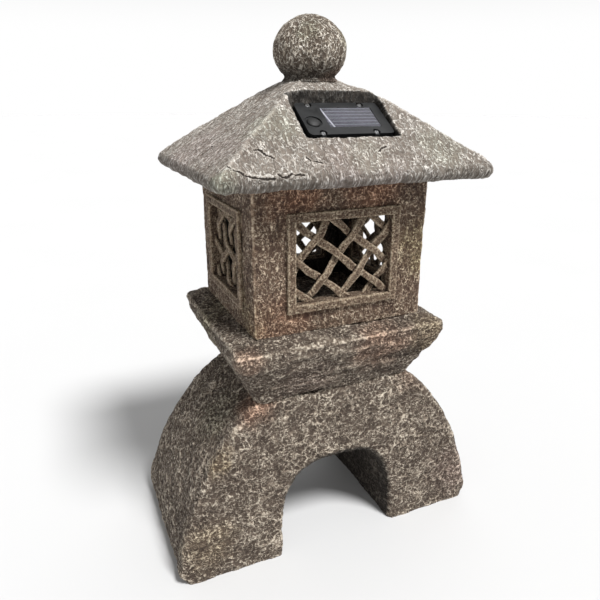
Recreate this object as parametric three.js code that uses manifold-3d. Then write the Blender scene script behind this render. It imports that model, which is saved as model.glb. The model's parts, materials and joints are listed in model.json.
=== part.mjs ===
// Garden lantern in stacked stone castings with a solar lamp unit let into the roof.
// Millimetres, +Z up, front towards -Y. The origin is on the ground, under the centre.
import * as THREE from 'three';
import { mergeVertices } from 'three/addons/utils/BufferGeometryUtils.js';
import Module from 'manifold-3d';

const wasm = await Module();
wasm.setup();

// ---- driving dimensions -------------------------------------------------------------------

const GAP = 0.3; // fitting gap between pieces that rest on each other
const DEPTH_RATIO = 0.889; // the lantern is slightly shallower than it is wide

const ARCH = {
  halfWidth: 180, // where the outer curve would meet the ground
  rise: 208, // height of the outer curve, before its top is cut flat
  widthFullness: 2.43, // exponents of the outer curve: 2 is an ellipse, more is squarer
  riseFullness: 1.54,
  footHalfWidth: 173,
  footHeight: 12, // the foot tucks in below this height
  flatTop: 185,
  halfDepth: 90.5, // at the ground; both faces lean in towards the flat top
  frontAtTop: 77.5,
  backAtTop: 58,
  openingHalfWidth: 68.5,
  openingHeight: 105,
  openingFullness: 3,
  edgeRound: 5,
};

// Half-widths and levels up the platform's side, from its narrow foot to its rim.
const PLATFORM = {
  bottom: ARCH.flatTop + GAP,
  footHalfWidth: 87,
  footCorner: 8,
  bowlHalfWidth: 96.5,
  bowlLevel: 202,
  ledgeHalfWidth: 99.6,
  ledgeLevel: 211.5,
  flareHalfWidth: 105.6,
  flareLevel: 220.6,
  lipHalfWidth: 112.4,
  lipLevel: 232.9,
  halfWidth: 114.7,
  rimLevel: 247.6,
  rimHeight: 3.2,
  rimInset: 1.2,
  rimCorner: 6,
  seat: 256.7, // level where the light box stands
  seatMargin: 1.5,
  depthRatio: 0.876,
  plinthHeight: 6,
  plinthRoot: 5,
};

// The low block that keys the platform into the arch, and its socket.
const KEY = { halfWidth: 30, halfDepth: 25, depth: 5.5, root: 5, corner: 3.5, clearance: 0.5 };

const BOX = {
  bottom: PLATFORM.seat + GAP,
  top: 399.7,
  halfWidth: 91.75,
  halfDepth: 81.55,
  wall: 16,
};

const WINDOW = {
  centre: 326.5, // height above the ground
  width: 118.6,
  height: 95.7,
  border: 8.4,
  proud: 4.2, // how far the frame stands out from the wall
  neckWall: 4.1,
  neckDepth: 12,
};

const LATTICE = {
  angle: THREE.MathUtils.degToRad(52.5), // of the rising slats; the falling ones are square to them
  risingOffsets: [-35.4, -4.8, 23.8, 47.1],
  fallingOffsets: [-51.7, -28.2, 0.2, 24.2, 49.5],
  slatWidth: 6.6,
  slatThickness: 3.6,
  weave: 1.4, // how far a slat swings out or in where it crosses another
  setBack: 4.3, // of the lattice's middle plane, behind the wall's face
};

const ROOF = {
  underside: BOX.top + GAP,
  undersideInset: 9,
  halfWidth: 138.2,
  halfDepth: 116.8,
  centreX: 4.7, // the eave sits a little off the centre of the box below it
  centreY: -1.7,
  corner: 10,
  widest: 406.5, // level of the middle of the eave's round edge
  slopeStart: 419,
  apex: 506.7, // where the hips would meet
  fall: 94.3, // drop of a hip from the apex to the corner
  crown: 485, // flat top that carries the finial
  crownHalfWidth: 29,
  crownHalfDepth: 28,
  crownBlend: 9, // height over which the four slopes turn into the round crown
  shell: 18, // vertical thickness over the lamp well
};

const WELL = { halfWidth: 66, halfDepth: 56, corner: 8, top: 462 };
const SPIGOT = { clearance: 1.25, depth: 8, root: 5, corner: 5 };

const FINIAL = {
  radius: 34.8,
  halfHeight: 31.2, // the ball is a little flattened
  centre: 513.3,
  neck: 24.5,
  neckAngle: THREE.MathUtils.degToRad(-45.2), // latitude where the ball passes into the neck
  flare: 3.6,
  tenonRadius: 9,
  tenonDepth: 12,
};

const UNIT = {
  centre: new THREE.Vector3(7.5, -59, 454), // middle of the cover's outer face
  tilt: THREE.MathUtils.degToRad(33.5),
};

// Plates of the unit are given by how far they reach to each side of the unit's centre.
const COVER = { left: 42.5, right: 44.75, below: 23.25, above: 23.25, thickness: 3.6, corner: 4 };
const GASKET = { thickness: 1, width: 2.4, inset: 0.5 };
const FLANGE = { left: 49, right: 45.5, below: 33, above: 24, thickness: 4.5, corner: 5 };
const CASE = {
  halfWidth: 42,
  halfHeight: 20,
  centreX: -1.5,
  centreY: -2,
  depth: 24.5,
  wall: 2,
  corner: 3,
};
const CELL = { x: 8.3, y: 1.5, width: 53.5, height: 29, margin: 1.5, lip: 1.2, thickness: 1.6 };
const SWITCH = { x: -32, y: -4.8, capRadius: 6.2, dome: 1.5, dishRadius: 8, dishDepth: 1.2 };
const SWITCH_FOOT = { radius: 6.9, top: -4.4, bottom: -5.6, stemRadius: 2, stemTip: -8.3 };
const PLUNGER = { radius: 1.5, top: -8.6, bottom: -11.6 };
const SWITCH_BODY = { halfWidth: 4, top: -9.8, floor: 0.6 };
const SCREW = { x: [-28.5, 26], y: 20.5, headRadius: 2.35, headHeight: 1.5, shankRadius: 1.2 };
const SCREW_HOLE = { bore: 3.65, boreDepth: 2.2, clearance: 1.6, thread: 1.4, sunk: 0.4 };
const MOUTH = { halfWidth: 48, halfHeight: 23.6, x: -1.75, y: -2.6, corner: 4 };
const BED = { halfWidth: 58, halfHeight: 38, x: -1.75, y: -4, thickness: 7, clearance: 0.5 };
const BOARD = { left: -41, right: -12, halfHeight: 17, thickness: 1.6, level: -15.9 };
const BATTERY = { radius: 7.25, length: 50.5, y: -10.5, level: -24.4 };
const POST = { radius: 2.7, height: 1.3 }; // the battery's raised terminal
const SPRING = { turns: 3, wide: 5, narrow: 3, length: 6, wire: 0.45 };
const CONTACT = { halfWidth: 5, thickness: 0.6 };
const LEAD = { x: -16, y: 8, radius: 0.6 };
const LED = { x: -25, y: 9, radius: 2.5, rim: 0.7, stickOut: 4, legSpread: 1.3, legRadius: 0.3 };
const LENS = { radius: 7, wall: 1.2, height: 8 };

// Levels along the lamp unit's own outward axis, counted from the cover's outer face.
const COVER_BACK = -COVER.thickness;
const GASKET_FRONT = COVER_BACK - GAP;
const GASKET_BACK = GASKET_FRONT - GASKET.thickness;
const FLANGE_FRONT = GASKET_BACK - GAP;
const FLANGE_BACK = FLANGE_FRONT - FLANGE.thickness;
const RECESS_FLOOR = FLANGE_BACK - GAP;
const CASE_BACK = FLANGE_BACK - CASE.depth;

// ---- solids -------------------------------------------------------------------------------

// Joins the shared corners of a geometry and drops the slivers that this leaves.
function welded(geometry) {
  const bare = new THREE.BufferGeometry();
  bare.setAttribute('position', geometry.getAttribute('position').clone());
  if (geometry.index) bare.setIndex(geometry.index.clone());
  const merged = mergeVertices(bare, 1e-3);
  const corners = Array.from(merged.index.array);
  const kept = [];
  for (let i = 0; i < corners.length; i += 3) {
    const [a, b, c] = corners.slice(i, i + 3);
    if (a !== b && b !== c && c !== a) kept.push(a, b, c);
  }
  merged.setIndex(kept);
  return merged;
}

function solidOf(geometry) {
  const merged = welded(geometry);
  const mesh = new wasm.Mesh({
    numProp: 3,
    vertProperties: new Float32Array(merged.getAttribute('position').array),
    triVerts: new Uint32Array(merged.index.array),
  });
  return new wasm.Manifold(mesh);
}

function geometryOf(solid) {
  const mesh = solid.getMesh();
  const geometry = new THREE.BufferGeometry();
  geometry.setAttribute('position', new THREE.BufferAttribute(mesh.vertProperties, 3));
  geometry.setIndex(new THREE.BufferAttribute(mesh.triVerts, 1));
  geometry.computeVertexNormals();
  return geometry;
}

function joined(solids) {
  return solids.reduce((whole, solid) => whole.add(solid));
}

function cut(solid, ...tools) {
  return tools.reduce((rest, tool) => rest.subtract(tool), solid);
}

// Skins a stack of outlines, each with the same number of points, and closes both ends.
function skin(outlines) {
  const count = outlines[0].length;
  const last = (outlines.length - 1) * count;
  const positions = outlines.flat().flatMap((point) => point.toArray());
  const index = [];
  for (let level = 0; level < outlines.length - 1; level += 1) {
    for (let i = 0; i < count; i += 1) {
      const here = level * count + i;
      const next = level * count + ((i + 1) % count);
      index.push(here, next, next + count);
      index.push(here, next + count, here + count);
    }
  }
  for (let i = 1; i < count - 1; i += 1) {
    index.push(0, i + 1, i);
    index.push(last, last + i, last + i + 1);
  }
  const geometry = new THREE.BufferGeometry();
  geometry.setAttribute('position', new THREE.Float32BufferAttribute(positions, 3));
  geometry.setIndex(index);
  return geometry;
}

// Anticlockwise outline of a rounded rectangle at height z.
function roundedOutline({ z, x, y, corner, cx = 0, cy = 0 }, steps = 3) {
  const radius = Math.min(corner, x, y);
  const points = [];
  for (let quarter = 0; quarter < 4; quarter += 1) {
    const sideX = quarter === 0 || quarter === 3 ? 1 : -1;
    const sideY = quarter < 2 ? 1 : -1;
    for (let i = 0; i <= steps; i += 1) {
      const angle = (quarter + i / steps) * (Math.PI / 2);
      const px = cx + sideX * (x - radius) + radius * Math.cos(angle);
      const py = cy + sideY * (y - radius) + radius * Math.sin(angle);
      points.push(new THREE.Vector3(px, py, z));
    }
  }
  return points;
}

// A solid through a stack of rounded rectangles, from the lowest to the highest.
function stack(levels, steps) {
  return solidOf(skin(levels.map((level) => roundedOutline(level, steps))));
}

function slab(x, y, low, high, corner, cx = 0, cy = 0) {
  const outline = { x, y, corner, cx, cy };
  return stack([{ ...outline, z: low }, { ...outline, z: high }]);
}

// A plate given by its four sides, in the lamp unit's own frame.
function plate({ left, right, below, above, corner }, low, high) {
  const x = (left + right) / 2;
  const y = (below + above) / 2;
  return slab(x, y, low, high, corner, (right - left) / 2, (above - below) / 2);
}

// A turned solid about +Z from (radius, height) pairs, starting and ending on the axis.
function turned(profile, segments = 24, x = 0, y = 0) {
  const points = profile.map(([radius, height]) => new THREE.Vector2(radius, height));
  const geometry = new THREE.LatheGeometry(points, segments);
  geometry.rotateX(Math.PI / 2);
  geometry.translate(x, y, 0);
  return solidOf(geometry);
}

function rod(radius, low, high, x, y, segments = 16) {
  return turned([[0, low], [radius, low], [radius, high], [0, high]], segments, x, y);
}

// ---- finishes -----------------------------------------------------------------------------

const STONE_DARK = { color: 0x6b5c50, roughness: 0.9, metalness: 0 };
const STONE_PALE = { color: 0x93887b, roughness: 0.9, metalness: 0 };
const STONE_FINIAL = { color: 0x857a6c, roughness: 0.85, metalness: 0 };
const BLACK_PLASTIC = { color: 0x1b1c1d, roughness: 0.45, metalness: 0 };
const BLACK_RUBBER = { color: 0x151515, roughness: 0.6, metalness: 0 };
const STEEL = { color: 0xb9bbbd, roughness: 0.3, metalness: 1 };
const SILICON = { color: 0x4d4a57, roughness: 0.3, metalness: 0.2 };
const CLEAR = { color: 0xdfe6ea, roughness: 0.1, metalness: 0, transparent: true, opacity: 0.35 };
const FROSTED = { color: 0xe9e4d2, roughness: 0.6, metalness: 0 };
const BOARD_GREEN = { color: 0x1f5a34, roughness: 0.5, metalness: 0 };
const WRAP_GREEN = { color: 0x2f7f4f, roughness: 0.35, metalness: 0 };
const COPPER = { color: 0xb36a3c, roughness: 0.4, metalness: 1 };

function part(name, solid, finish) {
  const mesh = new THREE.Mesh(geometryOf(solid), new THREE.MeshStandardMaterial(finish));
  mesh.name = name;
  return mesh;
}

// ---- castings -----------------------------------------------------------------------------

// The arch seen from the front, as an outline in x and z that runs on below the ground.
function archShape() {
  const shape = new THREE.Shape();
  const below = -3 * ARCH.edgeRound;
  const outer = outerCurve(12);
  shape.moveTo(ARCH.footHalfWidth, below);
  shape.lineTo(ARCH.footHalfWidth, 0);
  outer.forEach(([x, z]) => shape.lineTo(x, z));
  outer.reverse().forEach(([x, z]) => shape.lineTo(-x, z));
  shape.lineTo(-ARCH.footHalfWidth, 0);
  shape.lineTo(-ARCH.footHalfWidth, below);
  shape.lineTo(-ARCH.openingHalfWidth, below);
  openingCurve(20).forEach(([x, z]) => shape.lineTo(x, z));
  shape.lineTo(ARCH.openingHalfWidth, below);
  return shape;
}

// The right half of the outer curve, from the top of the foot to the edge of the flat top.
function outerCurve(steps) {
  const angleAt = (z) => Math.asin((z / ARCH.rise) ** (ARCH.riseFullness / 2));
  const start = angleAt(ARCH.footHeight);
  const end = angleAt(ARCH.flatTop);
  const points = [];
  for (let i = 0; i <= steps; i += 1) {
    const angle = start + ((end - start) * i) / steps;
    const x = ARCH.halfWidth * Math.cos(angle) ** (2 / ARCH.widthFullness);
    points.push([x, ARCH.rise * Math.sin(angle) ** (2 / ARCH.riseFullness)]);
  }
  return points;
}

// The opening's curve from its left foot over the top to its right foot.
function openingCurve(steps) {
  const power = 2 / ARCH.openingFullness;
  const points = [];
  for (let i = 0; i <= steps; i += 1) {
    const angle = Math.PI * (1 - i / steps);
    const across = Math.sign(Math.cos(angle)) * Math.abs(Math.cos(angle)) ** power;
    const up = Math.max(Math.sin(angle), 0) ** power;
    points.push([ARCH.openingHalfWidth * across, ARCH.openingHeight * up]);
  }
  return points;
}

// Leans the front and the back face in, from full depth at the ground.
function leanFaces(geometry) {
  const points = geometry.getAttribute('position');
  for (let i = 0; i < points.count; i += 1) {
    const share = Math.max(points.getZ(i), 0) / ARCH.flatTop;
    const atTop = points.getY(i) < 0 ? ARCH.frontAtTop : ARCH.backAtTop;
    const scale = 1 + (atTop / ARCH.halfDepth - 1) * share;
    points.setY(i, points.getY(i) * scale);
  }
}

function baseArch() {
  const geometry = new THREE.ExtrudeGeometry(archShape(), {
    depth: 2 * (ARCH.halfDepth - ARCH.edgeRound),
    bevelSize: ARCH.edgeRound,
    bevelThickness: ARCH.edgeRound,
    bevelOffset: -ARCH.edgeRound,
    bevelSegments: 2,
  });
  geometry.rotateX(Math.PI / 2);
  geometry.translate(0, ARCH.halfDepth - ARCH.edgeRound, 0);
  leanFaces(geometry);
  const ground = slab(2 * ARCH.halfWidth, 2 * ARCH.halfDepth, -ARCH.rise, 0, 1);
  const keyX = KEY.halfWidth + KEY.clearance;
  const keyY = KEY.halfDepth + KEY.clearance;
  const keyFloor = ARCH.flatTop - KEY.depth - KEY.clearance;
  const socket = slab(keyX, keyY, keyFloor, ARCH.rise, KEY.corner + KEY.clearance);
  return part('base_arch', cut(solidOf(geometry), ground, socket), STONE_DARK);
}

function platformLevel(x, z, corner) {
  return { x, y: x * PLATFORM.depthRatio, z, corner };
}

// A flared dish: narrow under-face, a small ledge, wide rim, and a top that rises to the seat.
function platformSkin() {
  const { footCorner, rimCorner, halfWidth, rimLevel, rimHeight } = PLATFORM;
  const flareCorner = (footCorner + rimCorner) / 2;
  return stack([
    platformLevel(PLATFORM.footHalfWidth, PLATFORM.bottom, footCorner),
    platformLevel(PLATFORM.bowlHalfWidth, PLATFORM.bowlLevel, footCorner - 1),
    platformLevel(PLATFORM.ledgeHalfWidth, PLATFORM.ledgeLevel, footCorner - 2),
    platformLevel(PLATFORM.flareHalfWidth, PLATFORM.flareLevel, flareCorner),
    platformLevel(PLATFORM.lipHalfWidth, PLATFORM.lipLevel, rimCorner + 1),
    platformLevel(halfWidth, rimLevel, rimCorner),
    platformLevel(halfWidth - PLATFORM.rimInset, rimLevel + rimHeight, rimCorner - 1),
    platformLevel(BOX.halfWidth + PLATFORM.seatMargin, PLATFORM.seat, rimCorner / 2),
  ]);
}

// A low block that fills the light box's inside, from one level up to another.
function spigotBlock(low, high) {
  const x = BOX.halfWidth - BOX.wall - SPIGOT.clearance;
  const y = BOX.halfDepth - BOX.wall - SPIGOT.clearance;
  return slab(x, y, low, high, SPIGOT.corner);
}

function platform() {
  const { seat, plinthRoot, plinthHeight, bottom } = PLATFORM;
  const plinth = spigotBlock(seat - plinthRoot, seat + plinthHeight);
  const key = slab(KEY.halfWidth, KEY.halfDepth, bottom - KEY.depth, bottom + KEY.root, KEY.corner);
  return part('platform', joined([platformSkin(), plinth, key]), STONE_DARK);
}

// The four walls share one frame: local x runs along the wall, y up, z out of it.
function walls() {
  const frontWidth = WINDOW.width;
  const sideWidth = WINDOW.width * DEPTH_RATIO;
  return [
    { side: 'front', turn: 0, out: BOX.halfDepth, width: frontWidth },
    { side: 'right', turn: Math.PI / 2, out: BOX.halfWidth, width: sideWidth },
    { side: 'back', turn: Math.PI, out: BOX.halfDepth, width: frontWidth },
    { side: 'left', turn: -Math.PI / 2, out: BOX.halfWidth, width: sideWidth },
  ];
}

function wallMatrix({ turn, out }) {
  const matrix = new THREE.Matrix4().makeRotationZ(turn);
  matrix.multiply(new THREE.Matrix4().makeTranslation(0, -out, WINDOW.centre));
  return matrix.multiply(new THREE.Matrix4().makeRotationX(Math.PI / 2));
}

function movedBy(solid, matrix) {
  const geometry = geometryOf(solid);
  geometry.applyMatrix4(matrix);
  return solidOf(geometry);
}

function neckOutline(wall, extra) {
  const inset = WINDOW.border - WINDOW.neckWall - extra;
  return { x: wall.width / 2 - inset, y: WINDOW.height / 2 - inset };
}

function lightBox() {
  const shell = slab(BOX.halfWidth, BOX.halfDepth, BOX.bottom, BOX.top, 3);
  const chamber = slab(
    BOX.halfWidth - BOX.wall,
    BOX.halfDepth - BOX.wall,
    BOX.bottom - BOX.wall,
    BOX.top + BOX.wall,
    6,
  );
  const openings = walls().map((wall) => {
    const { x, y } = neckOutline(wall, GAP);
    return movedBy(slab(x, y, -1.5 * BOX.wall, BOX.wall, 1), wallMatrix(wall));
  });
  return part('light_box', cut(shell, chamber, ...openings), STONE_DARK);
}

// Where the line at one offset, running along the angle, enters and leaves the half-sizes.
function clipped(angle, offset, halfX, halfY) {
  const along = new THREE.Vector2(Math.cos(angle), Math.sin(angle));
  const across = new THREE.Vector2(Math.sin(angle), -Math.cos(angle));
  const base = across.multiplyScalar(offset);
  const range = (slope, start, half) =>
    [(-half - start) / slope, (half - start) / slope].sort((a, b) => a - b);
  const [fromX, toX] = range(along.x, base.x, halfX);
  const [fromY, toY] = range(along.y, base.y, halfY);
  return { base, along, from: Math.max(fromX, fromY), to: Math.min(toX, toY) };
}

// One slat: a flat strip that swings over one crossing slat and under the next.
function slat(angle, offset, crossings, phase, halfX, halfY) {
  const { base, along, from, to } = clipped(angle, offset, halfX, halfY);
  const inside = crossings.filter((t) => t > from + LATTICE.slatWidth && t < to - LATTICE.slatWidth);
  const middle = -LATTICE.setBack;
  const stops = [{ t: from, z: middle }];
  inside.forEach((t) => {
    const over = (crossings.indexOf(t) + phase) % 2 === 0 ? 1 : -1;
    stops.push({ t, z: middle + over * LATTICE.weave });
  });
  stops.push({ t: to, z: middle });
  const side = new THREE.Vector2(-along.y, along.x).multiplyScalar(LATTICE.slatWidth / 2);
  const half = LATTICE.slatThickness / 2;
  const outlines = stops.map(({ t, z }) => {
    const x = base.x + along.x * t;
    const y = base.y + along.y * t;
    return [
      new THREE.Vector3(x + side.x, y + side.y, z + half),
      new THREE.Vector3(x - side.x, y - side.y, z + half),
      new THREE.Vector3(x - side.x, y - side.y, z - half),
      new THREE.Vector3(x + side.x, y + side.y, z - half),
    ];
  });
  return solidOf(skin(outlines));
}

function lattice(halfX, halfY) {
  const rising = LATTICE.angle;
  const falling = LATTICE.angle - Math.PI / 2;
  const up = LATTICE.risingOffsets.map((offset, i) =>
    slat(rising, offset, LATTICE.fallingOffsets, i, halfX, halfY));
  const down = LATTICE.fallingOffsets.map((offset, i) =>
    slat(falling, -offset, LATTICE.risingOffsets, i + 1, halfX, halfY));
  return joined([...up, ...down]);
}

// Frame, neck and lattice are one casting, set into the wall from outside.
function latticeWindow(wall) {
  const frame = slab(wall.width / 2, WINDOW.height / 2, GAP, WINDOW.proud, 1);
  const { x, y } = neckOutline(wall, 0);
  const neck = slab(x, y, -WINDOW.neckDepth, WINDOW.proud / 2, 1);
  const halfX = wall.width / 2 - WINDOW.border;
  const halfY = WINDOW.height / 2 - WINDOW.border;
  const light = slab(halfX, halfY, -2 * WINDOW.neckDepth, 2 * WINDOW.proud, 0.5);
  const slats = lattice(halfX + WINDOW.neckWall / 2, halfY + WINDOW.neckWall / 2);
  const casting = cut(joined([frame, neck]), light).add(slats.intersect(neck));
  return part(`window_${wall.side}`, movedBy(casting, wallMatrix(wall)), STONE_DARK);
}

// Half-width and half-depth of the hipped roof's surface at height z.
function roofSpan(z) {
  const share = (ROOF.apex - z) / ROOF.fall;
  return { x: ROOF.halfWidth * share, y: ROOF.halfDepth * share };
}

// One outline of the roof, about the eave's own centre.
function offCentre(level) {
  return { ...level, cx: ROOF.centreX, cy: ROOF.centreY };
}

function roofLevel(z, corner) {
  return offCentre({ ...roofSpan(z), z, corner });
}

function eaveLevel(z, inset, corner) {
  return offCentre({ x: ROOF.halfWidth - inset, y: ROOF.halfDepth - inset, z, corner });
}

function roofSkin() {
  const { underside, undersideInset, widest, corner, slopeStart, crown } = ROOF;
  const lower = (underside + widest) / 2 - 1.5;
  const upper = (widest + slopeStart) / 2;
  const slopeCorner = corner - 2;
  return stack([
    eaveLevel(underside, undersideInset, corner - 3),
    eaveLevel(lower, undersideInset / 3, corner - 1),
    eaveLevel(widest, 0, corner),
    eaveLevel(upper, undersideInset / 6, corner),
    roofLevel(slopeStart, slopeCorner),
    roofLevel((slopeStart + crown) / 2, slopeCorner - 2),
    roofLevel(crown - ROOF.crownBlend, slopeCorner),
    { x: ROOF.crownHalfWidth, y: ROOF.crownHalfDepth, z: crown, corner: ROOF.crownHalfDepth },
  ]);
}

// The well under the roof follows its slopes, one shell thickness below them.
function lampWell() {
  const shoulder = ROOF.apex - ROOF.shell - (ROOF.fall * WELL.halfWidth) / ROOF.halfWidth;
  const top = roofSpan(WELL.top + ROOF.shell);
  return stack([
    { x: WELL.halfWidth, y: WELL.halfDepth, z: ROOF.underside - 2 * SPIGOT.depth, corner: WELL.corner },
    { x: WELL.halfWidth, y: WELL.halfDepth, z: shoulder, corner: WELL.corner },
    offCentre({ ...top, z: WELL.top, corner: WELL.corner }),
  ]);
}

function unitMatrix() {
  const matrix = new THREE.Matrix4().makeTranslation(UNIT.centre.x, UNIT.centre.y, UNIT.centre.z);
  return matrix.multiply(new THREE.Matrix4().makeRotationX(UNIT.tilt));
}

// A plate's sides, all moved outwards by the same amount.
function grown(sides, by) {
  const { left, right, below, above, corner } = sides;
  return { left: left + by, right: right + by, below: below + by, above: above + by, corner };
}

// The lamp unit's bed: an upright-walled opening down to the cover, then a stepped seat for the
// cover and the flange, and a pocket for the case, all square to the unit.
function unitBed() {
  const matrix = unitMatrix();
  const reach = 2 * CASE.halfWidth;
  const mouth = slab(
    MOUTH.halfWidth,
    MOUTH.halfHeight,
    ROOF.underside,
    ROOF.crown,
    MOUTH.corner,
    UNIT.centre.x + MOUTH.x,
    UNIT.centre.y + MOUTH.y,
  );
  const aboveFlange = slab(reach, reach, FLANGE_FRONT - GAP, reach, 1);
  const squareCuts = [
    plate(grown(COVER, BED.clearance), FLANGE_FRONT - GAP, 1),
    plate(grown(FLANGE, BED.clearance), RECESS_FLOOR, FLANGE_FRONT + GAP),
    caseOutline(BED.clearance, CASE_BACK - BED.thickness, RECESS_FLOOR + 1),
  ];
  const upright = mouth.intersect(movedBy(aboveFlange, matrix));
  return [upright, ...squareCuts.map((solid) => movedBy(solid, matrix))];
}

function caseOutline(extra, low, high) {
  const x = CASE.halfWidth + extra;
  const y = CASE.halfHeight + extra;
  return slab(x, y, low, high, CASE.corner, CASE.centreX, CASE.centreY);
}

// Stone kept round the unit's bed where it reaches into the well.
function bedPad() {
  const low = RECESS_FLOOR - BED.thickness;
  const high = low + 2 * CASE.depth;
  const pad = slab(BED.halfWidth, BED.halfHeight, low, high, MOUTH.corner, BED.x, BED.y);
  return movedBy(pad, unitMatrix());
}

function roof() {
  const spigot = spigotBlock(ROOF.underside - SPIGOT.depth, ROOF.underside + SPIGOT.root);
  const well = lampWell().subtract(bedPad());
  const socketFloor = ROOF.crown - FINIAL.tenonDepth - GAP;
  const socket = rod(FINIAL.tenonRadius + GAP, socketFloor, ROOF.apex, 0, 0);
  return part('roof', cut(roofSkin().add(spigot), well, socket, ...unitBed()), STONE_PALE);
}

function finial() {
  const base = ROOF.crown + GAP;
  const profile = [
    [0, ROOF.crown - FINIAL.tenonDepth],
    [FINIAL.tenonRadius, ROOF.crown - FINIAL.tenonDepth],
    [FINIAL.tenonRadius, base],
    [FINIAL.neck + FINIAL.flare, base],
    [FINIAL.neck, base + FINIAL.flare],
  ];
  const steps = 12;
  const start = FINIAL.neckAngle;
  for (let i = 0; i <= steps; i += 1) {
    const angle = start + ((Math.PI / 2 - start) * i) / steps;
    const radius = i === steps ? 0 : FINIAL.radius * Math.cos(angle);
    profile.push([radius, FINIAL.centre + FINIAL.halfHeight * Math.sin(angle)]);
  }
  return part('finial', turned(profile, 28), STONE_FINIAL);
}

// ---- lamp unit, in its own frame: x across, y up the slope, z out of the cover --------------

function screwSpots() {
  return [1, -1].flatMap((row) => SCREW.x.map((x) => ({ x, y: row * SCREW.y })));
}

function housing() {
  const flange = plate(FLANGE, FLANGE_BACK, FLANGE_FRONT);
  const box = caseOutline(0, CASE_BACK, FLANGE_FRONT);
  const hollow = caseOutline(-CASE.wall, CASE_BACK + CASE.wall, 0);
  const threads = screwSpots().map(({ x, y }) =>
    rod(SCREW_HOLE.thread, FLANGE_BACK + 2 * GAP, 0, x, y, 12));
  const ledHole = rod(LED.radius + GAP, 2 * CASE_BACK, CASE_BACK + 2 * CASE.wall, LED.x, LED.y);
  return part('housing', cut(joined([flange, box]), hollow, ledHole, ...threads), BLACK_PLASTIC);
}

function gasket() {
  const outer = plate(grown(COVER, -GASKET.inset), GASKET_BACK, GASKET_FRONT);
  const inside = grown(COVER, -GASKET.inset - GASKET.width);
  const inner = plate(inside, FLANGE_BACK, 0);
  const holes = screwSpots().map(({ x, y }) => rod(SCREW_HOLE.clearance, FLANGE_BACK, 0, x, y, 12));
  return part('gasket', cut(outer, inner, ...holes), BLACK_RUBBER);
}

// The window for the cell, with a wider seat behind it that the cell lies in.
function cellOpening() {
  const sight = slab(CELL.width / 2, CELL.height / 2, FLANGE_BACK, 1, 1, CELL.x, CELL.y);
  const seatX = CELL.width / 2 + CELL.margin;
  const seatY = CELL.height / 2 + CELL.margin;
  return sight.add(slab(seatX, seatY, FLANGE_BACK, -CELL.lip, 1, CELL.x, CELL.y));
}

function screwBores() {
  return screwSpots().flatMap(({ x, y }) => [
    rod(SCREW_HOLE.bore, -SCREW_HOLE.boreDepth, 1, x, y),
    rod(SCREW_HOLE.clearance, FLANGE_BACK, 1, x, y, 12),
  ]);
}

function faceCover() {
  const { x, y } = SWITCH;
  const body = plate(COVER, COVER_BACK, 0);
  const dish = rod(SWITCH.dishRadius, -SWITCH.dishDepth, 1, x, y, 32);
  const hole = rod(SWITCH.capRadius + GAP, FLANGE_BACK, 1, x, y, 32);
  return part('face_cover', cut(body, cellOpening(), dish, hole, ...screwBores()), BLACK_PLASTIC);
}

function solarCell() {
  const x = CELL.width / 2 + CELL.margin - GAP;
  const y = CELL.height / 2 + CELL.margin - GAP;
  const top = -CELL.lip - GAP;
  return part('solar_cell', slab(x, y, top - CELL.thickness, top, 1, CELL.x, CELL.y), SILICON);
}

function cellGlazing() {
  const x = CELL.width / 2 - GAP;
  const y = CELL.height / 2 - GAP;
  return part('cell_glazing', slab(x, y, -CELL.lip, -GAP, 1, CELL.x, CELL.y), CLEAR);
}

// A pan-head screw with a slot, its shank running down into the flange.
function coverScrew(spot, number) {
  const top = -SCREW_HOLE.sunk;
  const under = top - SCREW.headHeight;
  const tip = FLANGE_BACK + 1;
  const profile = [
    [0, tip],
    [SCREW.shankRadius * 0.6, tip],
    [SCREW.shankRadius, tip + 1],
    [SCREW.shankRadius, under],
    [SCREW.headRadius, under],
    [SCREW.headRadius, under + 0.9],
    [SCREW.headRadius * 0.7, top],
    [0, top],
  ];
  const slot = slab(0.35, 5, top - 0.7, top + 5, 0.1, spot.x, spot.y);
  return part(`cover_screw_${number}`, cut(turned(profile, 16, spot.x, spot.y), slot), STEEL);
}

// A domed button on a thin foot that sits behind the cover, with a stem towards the plunger.
function switchCap() {
  const { capRadius, dome, x, y } = SWITCH;
  const foot = SWITCH_FOOT;
  const profile = [
    [0, foot.stemTip],
    [foot.stemRadius, foot.stemTip],
    [foot.stemRadius, foot.bottom],
    [foot.radius, foot.bottom],
    [foot.radius, foot.top],
    [capRadius, foot.top],
    [capRadius, -dome / 2],
  ];
  const steps = 4;
  for (let i = 1; i <= steps; i += 1) {
    const angle = (Math.PI / 2) * (i / steps);
    const radius = i === steps ? 0 : capRadius * Math.cos(angle);
    profile.push([radius, dome * (1.5 * Math.sin(angle) - 0.5)]);
  }
  return part('switch_cap', turned(profile, 28, x, y), BLACK_RUBBER);
}

function switchPlunger() {
  const pin = rod(PLUNGER.radius, PLUNGER.bottom, PLUNGER.top, SWITCH.x, SWITCH.y, 12);
  return part('switch_plunger', pin, FROSTED);
}

function switchBody() {
  const { x, y } = SWITCH;
  const { halfWidth, top, floor } = SWITCH_BODY;
  const bottom = BOARD.level + BOARD.thickness + GAP;
  const body = slab(halfWidth, halfWidth, bottom, top, 0.5, x, y);
  const well = rod(PLUNGER.radius + GAP, bottom + floor, top + 1, x, y, 12);
  return part('switch_body', cut(body, well), BLACK_PLASTIC);
}

function circuitBoard() {
  const halfWidth = (BOARD.right - BOARD.left) / 2;
  const middle = (BOARD.right + BOARD.left) / 2;
  const low = BOARD.level;
  const board = slab(halfWidth, BOARD.halfHeight, low, low + BOARD.thickness, 1, middle, CASE.centreY);
  return part('circuit_board', board, BOARD_GREEN);
}

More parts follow.
